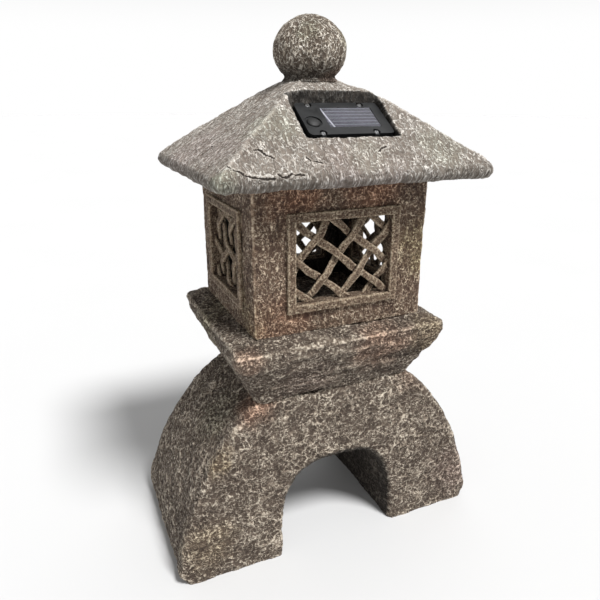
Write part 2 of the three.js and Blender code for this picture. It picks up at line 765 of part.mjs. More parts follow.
// Stiff leads that drop from the back of the cell to the board.
function cellLead(name, y) {
  const high = -CELL.lip - 2 * GAP - CELL.thickness;
  const low = BOARD.level + BOARD.thickness + GAP;
  return part(name, rod(LEAD.radius, low, high, LEAD.x, y, 8), COPPER);
}

// Lays a solid turned about +Z along +X at the battery's place.
function laidDown(solid) {
  const matrix = new THREE.Matrix4().makeTranslation(0, BATTERY.y, BATTERY.level);
  matrix.multiply(new THREE.Matrix4().makeRotationY(Math.PI / 2));
  return movedBy(solid, matrix);
}

function battery() {
  const { radius } = BATTERY;
  const half = BATTERY.length / 2;
  const shoulder = half - POST.height;
  const ease = radius / 10;
  const profile = [
    [0, -half],
    [radius - ease, -half],
    [radius, -half + ease],
    [radius, shoulder - ease],
    [radius - ease, shoulder],
    [POST.radius, shoulder],
    [POST.radius, half],
    [0, half],
  ];
  return part('battery', laidDown(turned(profile, 24)), WRAP_GREEN);
}

function contactPlate() {
  const { halfWidth, thickness } = CONTACT;
  const x = BATTERY.length / 2 + GAP;
  return part('contact_plate', laidDown(slab(halfWidth, halfWidth, x, x + thickness, 0.5)), STEEL);
}

// A conical wire spring, wide against its end wall and narrow against the battery.
function contactSpring() {
  class Coil extends THREE.Curve {
    getPoint(t, target = new THREE.Vector3()) {
      const angle = 2 * Math.PI * SPRING.turns * t;
      const radius = SPRING.wide + (SPRING.narrow - SPRING.wide) * t;
      return target.set(radius * Math.cos(angle), radius * Math.sin(angle), SPRING.length * t);
    }
  }
  const wire = new THREE.Shape().absarc(0, 0, SPRING.wire, 0, 2 * Math.PI);
  const options = { steps: 36, curveSegments: 3, extrudePath: new Coil(), bevelEnabled: false };
  const geometry = new THREE.ExtrudeGeometry(wire, options);
  geometry.translate(0, 0, -BATTERY.length / 2 - GAP - SPRING.wire - SPRING.length);
  return part('contact_spring', laidDown(solidOf(geometry)), STEEL);
}

function led() {
  const { x, y, radius, rim, stickOut } = LED;
  const seat = CASE_BACK + CASE.wall + GAP;
  const tip = CASE_BACK - stickOut;
  const profile = [
    [0, tip],
    [radius * 0.6, tip + radius / 5],
    [radius, tip + radius * 0.8],
    [radius, seat],
    [radius + rim, seat],
    [radius + rim, seat + 1],
    [0, seat + 1],
  ];
  const high = BOARD.level - GAP;
  const legs = [-LED.legSpread, LED.legSpread].map((side) =>
    rod(LED.legRadius, seat + GAP, high, x + side, y, 6));
  return part('led', joined([turned(profile, 16, x, y), ...legs]), FROSTED);
}

// A frosted cup over the light source, open towards the case.
function ledLens() {
  const rim = CASE_BACK - GAP;
  const { radius: outer, wall, height } = LENS;
  const inner = outer - wall;
  const profile = [
    [0, rim - height],
    [outer * 0.6, rim - height + 1],
    [outer, rim - height / 2],
    [outer, rim],
    [inner, rim],
    [inner, rim - height / 2 + 0.2],
    [inner * 0.6, rim - height + wall + 0.8],
    [0, rim - height + wall],
  ];
  return part('led_lens', turned(profile, 24, LED.x, LED.y), FROSTED);
}

function lampUnit() {
  const unit = new THREE.Group();
  unit.position.copy(UNIT.centre);
  unit.rotation.x = UNIT.tilt;
  unit.add(housing(), gasket(), faceCover(), solarCell(), cellGlazing());
  unit.add(...screwSpots().map((spot, i) => coverScrew(spot, i + 1)));
  unit.add(switchCap(), switchPlunger(), switchBody(), circuitBoard());
  unit.add(cellLead('cell_lead_positive', LEAD.y), cellLead('cell_lead_negative', -LEAD.y));
  unit.add(battery(), contactPlate(), contactSpring(), led(), ledLens());
  return unit;
}

// ---- assembly -----------------------------------------------------------------------------

const group = new THREE.Group();
group.add(baseArch(), platform(), lightBox());
group.add(...walls().map(latticeWindow));
group.add(roof(), finial(), lampUnit());

export default group;
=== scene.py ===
"""Looks of the solar stone lantern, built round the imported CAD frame. Metres, +Z up, front towards -Y."""

import json
import math

import bmesh
import bpy
import numpy as np
from mathutils import Matrix, Vector


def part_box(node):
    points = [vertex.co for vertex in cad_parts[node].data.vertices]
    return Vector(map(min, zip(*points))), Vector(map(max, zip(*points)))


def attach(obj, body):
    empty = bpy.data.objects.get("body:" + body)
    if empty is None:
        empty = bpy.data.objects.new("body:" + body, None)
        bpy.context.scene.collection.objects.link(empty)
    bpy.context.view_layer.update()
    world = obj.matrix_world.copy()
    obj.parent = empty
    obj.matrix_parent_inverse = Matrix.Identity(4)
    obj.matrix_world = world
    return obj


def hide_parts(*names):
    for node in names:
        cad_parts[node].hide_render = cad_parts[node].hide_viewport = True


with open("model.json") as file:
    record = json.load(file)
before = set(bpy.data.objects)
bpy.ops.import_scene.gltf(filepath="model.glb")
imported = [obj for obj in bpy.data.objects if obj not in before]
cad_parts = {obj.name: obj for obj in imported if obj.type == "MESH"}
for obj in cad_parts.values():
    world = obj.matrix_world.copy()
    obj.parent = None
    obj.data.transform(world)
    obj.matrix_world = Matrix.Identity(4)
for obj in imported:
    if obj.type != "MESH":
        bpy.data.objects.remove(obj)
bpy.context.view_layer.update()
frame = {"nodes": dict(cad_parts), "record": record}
MM = 0.001
WELD = 1e-6  # metres: corners closer than this are one


def middle_and_half(node):
    """The middle and the half-size of a CAD node's box, in millimetres."""
    low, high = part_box(node)
    return (low + high) / (2 * MM), (high - low) / (2 * MM)


# ---- camera ---------------------------------------------------------------------------------

CAMERA_PLACE = Vector((-0.2504, -0.5380, 0.4747))
CAMERA_YAW, CAMERA_PITCH, CAMERA_ROLL = (math.radians(a) for a in (-24.168, -20.154, 0.25))
CAMERA_LENS, SENSOR_WIDTH = 33.73, 36.0


def make_camera():
    """A pinhole camera at the lantern's front left, a little above its roof's eave."""
    data = bpy.data.cameras.new("camera")
    data.lens, data.sensor_width = CAMERA_LENS, SENSOR_WIDTH
    data.clip_start, data.clip_end = 0.01, 50.0
    camera = bpy.data.objects.new("camera", data)
    bpy.context.scene.collection.objects.link(camera)
    yaw, pitch = CAMERA_YAW, CAMERA_PITCH
    ahead = Vector((-math.sin(yaw) * math.cos(pitch), math.cos(yaw) * math.cos(pitch), math.sin(pitch)))
    right = Vector((math.cos(yaw), math.sin(yaw), 0))
    up = right.cross(ahead)
    turn = Matrix.Rotation(-CAMERA_ROLL, 3, ahead)
    right, up = turn @ right, turn @ up
    axes = Matrix((right, up, -ahead)).transposed()
    camera.matrix_world = Matrix.Translation(CAMERA_PLACE) @ axes.to_4x4()
    bpy.context.scene.camera = camera


# ---- node formulas, the same in a material and in geometry nodes -----------------------------


class Formula:
    """Adds nodes to a tree and links them, so that a formula is written from the inside out."""

    def __init__(self, tree):
        self.tree = tree

    def put(self, kind, inputs=(), **settings):
        """Adds a node with these inputs and settings."""
        node = self.tree.nodes.new(kind)
        for key, value in settings.items():
            setattr(node, key, value)
        for key, value in dict(inputs).items():
            self.feed(node.inputs[key], value)
        return node

    def feed(self, socket, value):
        """Links a node's output to the socket, or sets the socket to a fixed value."""
        if isinstance(value, bpy.types.NodeSocket):
            self.tree.links.new(value, socket)
        elif value is not None:
            socket.default_value = value

    def math(self, operation, a, b=None, c=None, clamp=False):
        node = self.put("ShaderNodeMath", operation=operation, use_clamp=clamp)
        for socket, value in zip(node.inputs, (a, b, c)):
            self.feed(socket, value)
        return node.outputs[0]

    def add(self, a, b):
        return self.math("ADD", a, b)

    def sub(self, a, b):
        return self.math("SUBTRACT", a, b)

    def mul(self, a, b):
        return self.math("MULTIPLY", a, b)

    def absolute(self, a):
        return self.math("ABSOLUTE", a)

    def largest(self, a, b):
        return self.math("MAXIMUM", a, b)

    def smallest(self, a, b):
        return self.math("MINIMUM", a, b)

    def vector_math(self, operation, a, b=None, scale=None):
        node = self.put("ShaderNodeVectorMath", operation=operation)
        self.feed(node.inputs[0], a)
        if b is not None:
            self.feed(node.inputs[1], b)
        if scale is not None:
            self.feed(node.inputs["Scale"], scale)
        return node.outputs["Value"] if operation in ("LENGTH", "DOT_PRODUCT") else node.outputs[0]

    def split(self, vector):
        return self.put("ShaderNodeSeparateXYZ", {0: vector}).outputs

    def join(self, x, y, z):
        return self.put("ShaderNodeCombineXYZ", {0: x, 1: y, 2: z}).outputs[0]

    def ease(self, value, low, high, to_low=0.0, to_high=1.0):
        """A smooth step from to_low to to_high as value goes from low to high."""
        node = self.put("ShaderNodeMapRange", interpolation_type="SMOOTHSTEP")
        for socket, v in zip(node.inputs, (value, low, high, to_low, to_high)):
            self.feed(socket, v)
        return node.outputs[0]

    def noise(self, point, size, detail=1.0, roughness=0.5):
        """Smooth noise from about 0.2 to 0.8, with features of this size in the point's units."""
        inputs = {"Vector": point, "Scale": 1.0 / size, "Detail": detail, "Roughness": roughness}
        return self.put("ShaderNodeTexNoise", inputs).outputs[0]

    def noise_vector(self, point, size, detail=1.0):
        """Noise in three directions, each up to about 0.3 either way."""
        node = self.put("ShaderNodeTexNoise", {"Vector": point, "Scale": 1.0 / size, "Detail": detail})
        return self.vector_math("SUBTRACT", node.outputs[1], (0.5, 0.5, 0.5))

    def warped(self, point, size, reach):
        """The point pushed about by noise, by up to about half of reach."""
        push = self.noise_vector(point, size)
        return self.vector_math("ADD", point, self.vector_math("SCALE", push, scale=reach))

    def cracks(self, point, size):
        """Distance from the nearest edge of a broken-up pattern of cells, in shares of a cell."""
        inputs = {"Vector": point, "Scale": 1.0 / size, "Randomness": 1.0}
        node = self.put("ShaderNodeTexVoronoi", inputs, feature="DISTANCE_TO_EDGE")
        return node.outputs["Distance"]

    def ramp(self, value, stops):
        """A colour from a row of (position, hex colour) stops."""
        node = self.put("ShaderNodeValToRGB", {0: value})
        elements = node.color_ramp.elements
        while len(elements) < len(stops):
            elements.new(0.5)
        for element, (position, code) in zip(elements, stops):
            element.position, element.color = position, (*rgb(code), 1.0)
        return node.outputs[0]

    def blend(self, parts, start=0.0):
        """A sum of values, each times its own weight."""
        total = start
        for value, weight in parts:
            total = self.math("MULTIPLY_ADD", value, weight, total)
        return total

    def to_segment(self, point, a, b):
        """Distance from the straight line between two places."""
        a, b = Vector(a), Vector(b)
        start = self.vector_math("SUBTRACT", point, tuple(a))
        reach = self.vector_math("DOT_PRODUCT", start, tuple((b - a) / (b - a).length_squared))
        share = self.math("ADD", reach, 0.0, clamp=True)
        foot = self.vector_math("SCALE", tuple(b - a), scale=share)
        return self.vector_math("LENGTH", self.vector_math("SUBTRACT", start, foot))

    def mix(self, share, a, b, blend_type="MIX"):
        """The colour a, turned into b or multiplied by it in this share."""
        node = self.put("ShaderNodeMix", data_type="RGBA", blend_type=blend_type, clamp_factor=True)
        for name, value in (("Factor_Float", share), ("A_Color", a), ("B_Color", b)):
            socket = next(s for s in node.inputs if s.identifier == name)
            self.feed(socket, value if not isinstance(value, tuple) else (*value, 1.0))
        return next(s for s in node.outputs if s.identifier == "Result_Color")

    def tinted(self, share, colour, tint):
        """The colour turned towards the tint's hue, keeping its own light and dark."""
        grey = sum(tint) / 3
        lift = tuple(0.5 + 0.5 * c / grey for c in tint)
        return self.mix(share, colour, self.mix(1.0, colour, lift, "MULTIPLY"))


# ---- stone relief: one recipe per casting, in millimetres ------------------------------------

# size: of the strokes. stretch: of the pattern along each axis. warp: how far it is pushed about.
# keen: how thin the crests are. cover: how much of the face has strokes. lift: their height.
# swell: the depth of the broad unevenness under them.
ROOF_STONE = dict(size=4.0, stretch=(1, 2.3, 1), warp=6.0, keen=15.0, cover=0.95, lift=0.7, swell=2.6)
BOX_STONE = dict(size=4.2, stretch=(1, 1, 1.3), warp=6.0, keen=16.0, cover=0.9, lift=0.7, swell=2.6)
PLATFORM_STONE = dict(size=4.4, stretch=(1.3, 1.3, 1), warp=6.5, keen=16.0, cover=0.9, lift=0.8, swell=2.6)
ARCH_STONE = dict(size=4.6, stretch=(1.2, 1.2, 1), warp=7.0, keen=16.0, cover=0.9, lift=0.9, swell=3.6)
FINIAL_STONE = dict(size=4.6, stretch=(1, 1, 1.7), warp=7.0, keen=14.0, cover=0.9, lift=0.8, swell=3.0)
LATTICE_STONE = dict(size=2.6, stretch=(1, 1, 1), warp=2.5, keen=16.0, cover=0.6, lift=0.25, swell=1.0)

# Steps to another part of the noise, so that two patterns never fall together.
NET_STEP, PATCH_STEP, BRUSH_STEP = (31.7, 12.9, 47.3), (7.1, 83.0, 19.0), (5.0, 71.0, 33.0)
MOUND_SPREAD = 2.4  # width of a stroke's soft mound over that of its crest
FAINT = 0.42  # strength of the strokes where the face is nearly bare
DENT_DEPTH, GRAIN_DEPTH = 3.4, 0.5  # over the height of the strokes
GRAIN_SIZE, BROAD_SIZE = 1.5, 30.0


def strokes(f, point, size, warp, keen, cover):
    """Thin squiggly raised lines, broken into strokes: a soft mound and a keen crest."""
    bent = f.warped(point, size * 1.7, warp)
    line = f.absolute(f.sub(f.noise(bent, size, 2.0, 0.55), 0.5))
    apart = f.vector_math("ADD", bent, NET_STEP)
    net = f.cracks(f.warped(apart, size * 0.9, size * 1.3), size * 1.5)
    off = f.smallest(line, f.mul(net, 0.95))
    patches = f.noise(f.vector_math("ADD", point, PATCH_STEP), size * 1.4, 2.0, 0.6)
    share = f.ease(patches, 0.56 - cover * 0.3, 0.78 - cover * 0.3, FAINT, 1.0)
    edge = 0.9 / keen
    mound = f.mul(f.ease(off, edge * MOUND_SPREAD, 0.0), share)
    crest = f.mul(f.ease(off, edge, edge / 9), share)
    return mound, crest


def stone(f, point, size, stretch, warp, keen, cover, lift, swell):
    """Carved stone: its height in millimetres, and its crests, dents and grain, each 0 to 1."""
    drawn = f.vector_math("MULTIPLY", point, tuple(1 / s for s in stretch))
    mound, crest = strokes(f, drawn, size, warp, keen, cover)
    dents = f.noise(f.warped(drawn, size * 3, warp * 2), size * 2.6, 2.0)
    broad = f.noise(point, BROAD_SIZE, 1.0)
    grain = f.noise(drawn, GRAIN_SIZE, 3.0, 0.7)
    height = f.blend((
        (mound, lift), (f.sub(dents, 0.5), DENT_DEPTH * lift), (f.sub(broad, 0.5), swell),
        (f.sub(grain, 0.5), GRAIN_DEPTH * lift),
    ))
    return {"height": height, "crest": crest, "dents": dents, "grain": grain}


def level(f, point):
    """The point's height above the ground."""
    return f.split(point)[2]


def raised(f, marks, parts, crest):
    """Adds weighted parts to the height, and a crest where it is the stronger one."""
    marks["height"] = f.blend(parts, marks["height"])
    marks["crest"] = f.largest(marks["crest"], crest)
    return marks


EDGE_WIDTH = 3.2


def brushed_edge(f, point, marks, off):
    """A pale dry-brushed line where off is near nought."""
    rough = f.ease(f.noise(point, 5.0, 2.0), 0.35, 0.6, 0.25, 1.0)
    line = f.ease(off, EDGE_WIDTH, EDGE_WIDTH * 0.2)
    marks["crest"] = f.largest(marks["crest"], f.mul(line, rough))
    return marks


CRACK_WIDTH, CRACK_DEPTH = 1.25, 1.2
CRACK_WAVER = (9.0, 9.0, 0.0)  # across and down the slope, never off it
FAR = 99.0


def with_cracks(f, point, marks, cracks):
    """Cuts thin dark cracks along straight runs, wavering a little, each with a raised lip."""
    push = f.vector_math("MULTIPLY", f.noise_vector(point, 7.0, 2.0), CRACK_WAVER)
    bent = f.vector_math("ADD", point, push)
    nearest = FAR
    for a, b in cracks:
        nearest = f.smallest(f.to_segment(bent, a, b), nearest)
    cut = f.ease(nearest, CRACK_WIDTH, CRACK_WIDTH * 0.3)
    outside = f.sub(1.0, cut)
    lip = f.mul(f.ease(nearest, CRACK_WIDTH * 2.6, CRACK_WIDTH * 1.2), outside)
    marks["height"] = f.blend(((cut, -CRACK_DEPTH), (lip, CRACK_DEPTH * 0.5)), marks["height"])
    marks["crest"] = f.largest(f.mul(marks["crest"], outside), f.mul(lip, 0.7))
    marks["cut"] = cut
    return marks


ROOF_BOX_MIDDLE, ROOF_HALF = middle_and_half("roof")
ROOF_MIDDLE = (ROOF_BOX_MIDDLE.x, ROOF_BOX_MIDDLE.y, 0.0)
ROOF_RATIO = ROOF_HALF.x / ROOF_HALF.y  # the hips follow it
OUT_SHARE, DROP_SHARE = 1 / 1.5, 1.2 / 1.5  # how far down the slope a step out and a step down lead
END_STEP, FACE_STEP = 57.0, 113.0  # these part the four slopes' patterns


def roof_point(f, point):
    """The roof's own coordinates, and the distance off the nearest hip.

    The coordinates run across the slope and down it, with a number that parts the four slopes.
    """
    x, y, z = f.split(f.vector_math("SUBTRACT", point, ROOF_MIDDLE))
    out_x, out_y = f.absolute(x), f.mul(f.absolute(y), ROOF_RATIO)
    on_end = f.math("GREATER_THAN", out_x, out_y)
    on_front = f.sub(1.0, on_end)
    across = f.add(f.mul(on_end, y), f.mul(on_front, x))
    facing = f.add(f.mul(on_end, x), f.mul(on_front, y))
    down = f.blend(((f.absolute(facing), OUT_SHARE), (z, -DROP_SHARE)))
    slope = f.blend(((on_end, END_STEP), (f.math("GREATER_THAN", facing, 0.0), FACE_STEP)))
    return f.join(across, down, slope), f.absolute(f.sub(out_x, out_y))


def roof_place(place):
    """The same coordinates of one fixed place."""
    x, y, z = (c - m for c, m in zip(place, ROOF_MIDDLE))
    on_end = abs(x) > abs(y) * ROOF_RATIO
    across, facing = (y, x) if on_end else (x, y)
    return across, abs(facing) * OUT_SHARE - z * DROP_SHARE, END_STEP * on_end + FACE_STEP * (facing > 0)


# The two ends of each crack, on the roof's face.
ROOF_CRACKS = (
    ((-92, -95, 432), (-78, -103, 426)),
    ((-119, -110, 421), (-104, -116, 414)),
    ((-104, -117, 413), (-84, -117, 411)),
    ((-80, -117, 414), (-58, -117, 412)),
    ((-109, -25, 429), (-107, -31, 431)),
    ((21, -102, 427), (31, -96, 431)),
    ((-50, -104, 424), (-38, -110, 419)),
    ((60, 96, 431), (38, 104, 425)),
    ((110, 20, 429), (118, 48, 423)),
)


HIP_HEIGHT, PIT_DEPTH = 1.1, 0.9
PITS_END, PITS_FULL = 418.0, 411.0  # levels between which the eave's pits set in
BOX_ARRIS = (91.5, 81.5)  # half-sizes of the box at its upright edges
PLATFORM_RIM = 248.5
FOLD_LENGTH, FOLD_HEIGHT, FOLD_DEPTH = 55, 11, 7.0


def roof_relief(f, point):
    """Strokes down the slopes, a knobbly pale ridge along each hip, a pitted eave and long cracks."""
    drawn, off_hip = roof_point(f, point)
    marks = stone(f, drawn, **ROOF_STONE)
    knobs = f.ease(f.noise(point, 9.0, 2.0), 0.35, 0.6, 0.3, 1.0)
    hip = f.mul(f.ease(off_hip, 6.0, 0.5), knobs)
    holes = f.ease(f.noise(drawn, 3.4, 2.0, 0.6), 0.44, 0.34)
    pits = f.mul(holes, f.ease(level(f, point), PITS_END, PITS_FULL))
    marks["crest"] = f.mul(marks["crest"], f.sub(1.0, pits))
    marks = raised(f, marks, ((hip, HIP_HEIGHT), (pits, -PIT_DEPTH)), f.mul(hip, 0.6))
    cracks = [tuple(roof_place(place) for place in crack) for crack in ROOF_CRACKS]
    return with_cracks(f, drawn, marks, cracks)


def box_relief(f, point):
    """Strokes between four pale upright edges."""
    marks = stone(f, point, **BOX_STONE)
    x, y, _ = f.split(f.vector_math("ABSOLUTE", point))
    from_arris = f.join(f.sub(x, BOX_ARRIS[0]), f.sub(y, BOX_ARRIS[1]), 0.0)
    return brushed_edge(f, point, marks, f.vector_math("LENGTH", from_arris))


def platform_relief(f, point):
    """Soft level folds run round the platform under its finer strokes, up to a pale rim."""
    marks = stone(f, point, **PLATFORM_STONE)
    flat = (1 / FOLD_LENGTH, 1 / FOLD_LENGTH, 1 / FOLD_HEIGHT)
    folds = f.noise(f.vector_math("MULTIPLY", f.warped(point, 40.0, 16.0), flat), 1.0, 1.0)
    pale = f.mul(f.ease(folds, 0.60, 0.70), marks["grain"])
    marks = raised(f, marks, ((f.sub(folds, 0.5), FOLD_DEPTH),), pale)
    off_rim = f.absolute(f.sub(level(f, point), PLATFORM_RIM))
    return brushed_edge(f, point, marks, off_rim)


def arch_relief(f, point):
    """Strokes over patches of raised veins."""
    marks = stone(f, point, **ARCH_STONE)
    veins = f.cracks(f.warped(point, 9.0, 9.0), 13.0)
    vein = f.mul(f.ease(veins, 0.09, 0.02), f.ease(f.noise(point, 24.0, 2.0), 0.42, 0.58))
    return raised(f, marks, ((vein, 0.5),), f.mul(vein, 0.9))


def finial_relief(f, point):
    """Strokes round the ball, a little longer upwards."""
    return stone(f, point, **FINIAL_STONE)


def lattice_relief(f, point):
    """Small shallow strokes on the windows."""
    return stone(f, point, **LATTICE_STONE)


# ---- meshes -----------------------------------------------------------------------------------


def new_piece(name, mesh):
    """An object of this mesh, in the scene."""
    piece = bpy.data.objects.new(name, mesh)
    bpy.context.scene.collection.objects.link(piece)
    return piece


def frozen(piece):
    """Applies every modifier of a piece."""
    graph = bpy.context.evaluated_depsgraph_get()
    mesh = bpy.data.meshes.new_from_object(piece.evaluated_get(graph))
    piece.modifiers.clear()
    old, piece.data = piece.data, mesh
    bpy.data.meshes.remove(old)
    return piece


def remeshed(piece, voxel, smooth_rounds):
    """A dense even skin of quads over a closed shape, its arrises rounded by the smoothing."""
    remesh = piece.modifiers.new("skin", "REMESH")
    remesh.mode, remesh.voxel_size, remesh.use_smooth_shade = "VOXEL", voxel, True
    if smooth_rounds:
        soften = piece.modifiers.new("soften", "SMOOTH")
        soften.factor, soften.iterations = 0.5, smooth_rounds
    return frozen(piece)


def welded_copy(node, name):
    """A copy of a CAD node's mesh with its split corners joined."""
    work = bmesh.new()
    work.from_mesh(frame["nodes"][node].data)
    bmesh.ops.remove_doubles(work, verts=work.verts, dist=WELD)
    mesh = bpy.data.meshes.new(name)
    work.to_mesh(mesh)
    work.free()
    return new_piece(name, mesh)


def carve(piece, relief):
    """Pushes the skin in and out by the relief, and keeps where each point was as "rest"."""
    tree = bpy.data.node_groups.new(f"{piece.name}_relief", "GeometryNodeTree")
    tree.interface.new_socket("Geometry", in_out="INPUT", socket_type="NodeSocketGeometry")
    tree.interface.new_socket("Geometry", in_out="OUTPUT", socket_type="NodeSocketGeometry")
    f = Formula(tree)
    start, end = f.put("NodeGroupInput"), f.put("NodeGroupOutput")
    place = f.put("GeometryNodeInputPosition").outputs[0]
    normal = f.put("GeometryNodeInputNormal").outputs[0]
    keep = f.put("GeometryNodeStoreNamedAttribute", {"Name": "rest"}, data_type="FLOAT_VECTOR")
    f.feed(keep.inputs["Geometry"], start.outputs[0])
    value = next(s for s in keep.inputs if s.name == "Value" and s.enabled)
    f.feed(value, place)
    point = f.vector_math("SCALE", place, scale=1 / MM)
    height = relief(f, point)["height"]
    offset = f.vector_math("SCALE", normal, scale=f.mul(height, MM))
    push = f.put("GeometryNodeSetPosition", {"Geometry": keep.outputs[0], "Offset": offset})
    f.feed(end.inputs[0], push.outputs[0])
    modifier = piece.modifiers.new("relief", "NODES")
    modifier.node_group = tree
    frozen(piece)
    for polygon in piece.data.polygons:
        polygon.use_smooth = True
    return piece


# ---- materials --------------------------------------------------------------------------------


def new_material(name):
    """An empty material with one shader, and the formula that fills it."""
    material = bpy.data.materials.new(name)
    material.use_nodes = True
    tree = material.node_tree
    tree.nodes.clear()
    f = Formula(tree)
    shader = f.put("ShaderNodeBsdfPrincipled")
    f.feed(f.put("ShaderNodeOutputMaterial").inputs[0], shader.outputs[0])
    return material, f, shader


def rgb(code):
    """A linear colour from six hex digits."""
    parts = [int(code[i:i + 2], 16) / 255 for i in (0, 2, 4)]
    return tuple(p / 12.92 if p <= 0.04045 else ((p + 0.055) / 1.055) ** 2.4 for p in parts)


TONE_START = 0.39  # of flat bare stone
CREST_TONE, DENT_TONE, GRAIN_TONE, SPECKLE_TONE, MOTTLE_TONE, CUT_TONE = 0.54, 0.3, 0.45, 0.3, 0.4, -0.5
SPECKLE_SIZE, MOTTLE_SIZE = 0.9, 20.0
BUMP_DEPTH = 1.8 * MM
# Near-black brown that each casting's shade mask mixes in: painted shade.
PAINTED_SHADE = "1c1916"


def stone_tone(f, point, marks, mottle, speckle, arris):
    """How pale the stone is: least in hollows and cuts (the dents' hollows partly painted shade), most on
    brushed crests and edges.
    """
    brushed = f.noise(f.vector_math("ADD", point, BRUSH_STEP), 2.2, 2.0, 0.7)
    crest = f.mul(marks["crest"], f.ease(brushed, 0.3, 0.62, 0.35, 1.0))
    edges = f.put("ShaderNodeNewGeometry").outputs["Pointiness"]
    tone = f.blend((
        (crest, CREST_TONE),
        # the dents' tone: darker in their hollows, partly the stone's dark ground and partly painted shade
        (f.sub(marks["dents"], 0.5), DENT_TONE),
        (f.sub(marks["grain"], 0.5), GRAIN_TONE),
        (f.sub(speckle, 0.5), SPECKLE_TONE),
        (f.sub(mottle, 0.5), MOTTLE_TONE),
        (f.sub(edges, 0.5), arris),
    ), TONE_START)
    if "cut" in marks:
        tone = f.blend(((marks["cut"], CUT_TONE),), tone)
    return tone


def stone_material(name, relief, ramp, stains=(), shade=None, arris=2.2):
    """Carved stone, dark in the hollows (partly its dark ground, partly painted shade), dry-brushed pale
    along its raised strokes and edges, and darkened further by painted shade where a shade mask is given.
    """
    material, f, shader = new_material(name)
    rest = f.put("ShaderNodeAttribute", attribute_name="rest").outputs["Vector"]
    point = f.vector_math("SCALE", rest, scale=1 / MM)
    marks = relief(f, point)
    mottle = f.noise(point, MOTTLE_SIZE, 4.0, 0.6)
    speckle = f.noise(point, SPECKLE_SIZE, 2.0, 0.8)
    tone = stone_tone(f, point, marks, mottle, speckle, arris)
    colour = f.ramp(tone, ramp)
    bent = f.warped(point, 16.0, 22.0)
    uneven = f.ease(mottle, 0.3, 0.6, 0.5, 1.0)
    for place, radius, code, strength in stains:
        away = f.vector_math("LENGTH", f.vector_math("SUBTRACT", bent, place))
        share = f.mul(f.ease(away, radius, radius * 0.35, 0.0, strength), uneven)
        colour = f.tinted(share, colour, rgb(code))
    # Painted shade: the casting's shade mask turns the colour towards near-black brown.
    if shade:
        colour = f.mix(shade(f, point), colour, rgb(PAINTED_SHADE))
    f.feed(shader.inputs["Base Color"], colour)
    f.feed(shader.inputs["Roughness"], f.ease(tone, 0.3, 0.9, 0.9, 0.68))
    shader.inputs["Specular IOR Level"].default_value = 0.3
    fine = f.blend(((marks["crest"], 0.9), (speckle, 0.3), (marks["grain"], 0.8)))
    bump = f.put("ShaderNodeBump", {"Height": fine, "Strength": 1.0, "Distance": BUMP_DEPTH})
    f.feed(shader.inputs["Normal"], bump.outputs[0])
    return material


# ---- castings ---------------------------------------------------------------------------------

# Colours from the hollows to the dry-brushed crests, at these tones.
RAMP_AT = (0.02, 0.28, 0.5, 0.72, 0.98)
DARK = tuple(zip(RAMP_AT, ("1f1a17", "3f352e", "5e5248", "887b6c", "d6cab8")))
BROWN = tuple(zip(RAMP_AT, ("1d1511", "44342c", "665344", "957f6b", "dccbb3")))
PALE = tuple(zip(RAMP_AT, ("3e3732", "71675e", "958c82", "b9b0a6", "ece7df")))
BALL = tuple(zip(RAMP_AT, ("2a231e", "54493f", "7b6f63", "aea393", "ebe4d8")))
WOVEN = tuple(zip(RAMP_AT, ("20170f", "49382d", "725f4e", "a59079", "dccbb0")))


CHAMBER_HALF = (76.5, 66.0)
OPENING_HALF_WIDTH, OPENING_HEIGHT, OPENING_FULLNESS = 68.5, 105.0, 3.0
TUNNEL_MOUTH = (88.0, 82.0)  # half-depths between which the opening darkens
RECESS_MIDDLE, RECESS_HALF = (5.75, -61.6), (47.9, 23.5)
RECESS_FOOT = 420.0
# Levels between which the painted shade under the eave sets in.
EAVE_TOP, EAVE_UNDER = 417.0, 406.0
BALL_MIDDLE, NECK_FOOT = 512.0, 490.0


def inside_box(f, point, middle, half, margin):
    """1 within these half-sizes of an upright axis, falling to 0 over the margin outside."""
    x, y, _ = f.split(point)
    in_x = f.ease(f.absolute(f.sub(x, middle[0])), half[0] + margin, half[0])
    in_y = f.ease(f.absolute(f.sub(y, middle[1])), half[1] + margin, half[1])
    return f.mul(in_x, in_y)


def chamber_shade(f, point):
    """Painted shade on the inside of the light box."""
    return f.mul(inside_box(f, point, (0.0, 0.0), CHAMBER_HALF, 2.0), 0.9)


def tunnel_shade(f, point):
    """Painted shade on the stone inside the arch's opening."""
    x, y, z = f.split(point)
    across = f.math("POWER", f.mul(f.absolute(x), 1 / OPENING_HALF_WIDTH), OPENING_FULLNESS)
    up = f.math("POWER", f.mul(f.largest(z, 0.0), 1 / OPENING_HEIGHT), OPENING_FULLNESS)
    inside = f.ease(f.add(across, up), 1.22, 1.1)
    return f.mul(inside, f.ease(f.absolute(y), *TUNNEL_MOUTH, 0.0, 0.75))


def recess_shade(f, point):
    """Painted shade on the walls where the lamp unit is let into the roof, and on the eave below."""
    height = level(f, point)
    shade_breakup = f.ease(f.noise(point, 6.0, 2.0), 0.35, 0.65, 0.85, 1.0)
    inside = inside_box(f, point, RECESS_MIDDLE, RECESS_HALF, 1.0)
    walls = f.mul(f.mul(inside, f.ease(height, RECESS_FOOT - 1, RECESS_FOOT + 1)), shade_breakup)
    return f.largest(walls, f.ease(height, EAVE_TOP, EAVE_UNDER, 0.0, 0.42))


def neck_shade(f, point):
    """Painted shade under the ball and on its neck."""
    return f.ease(level(f, f.warped(point, 12.0, 8.0)), BALL_MIDDLE, NECK_FOOT, 0.0, 0.72)


RUST, MOSS, LICHEN, PURPLE, YELLOW = "8c5c40", "6f7a50", "8b9a8a", "7a6873", "9a8a4c"

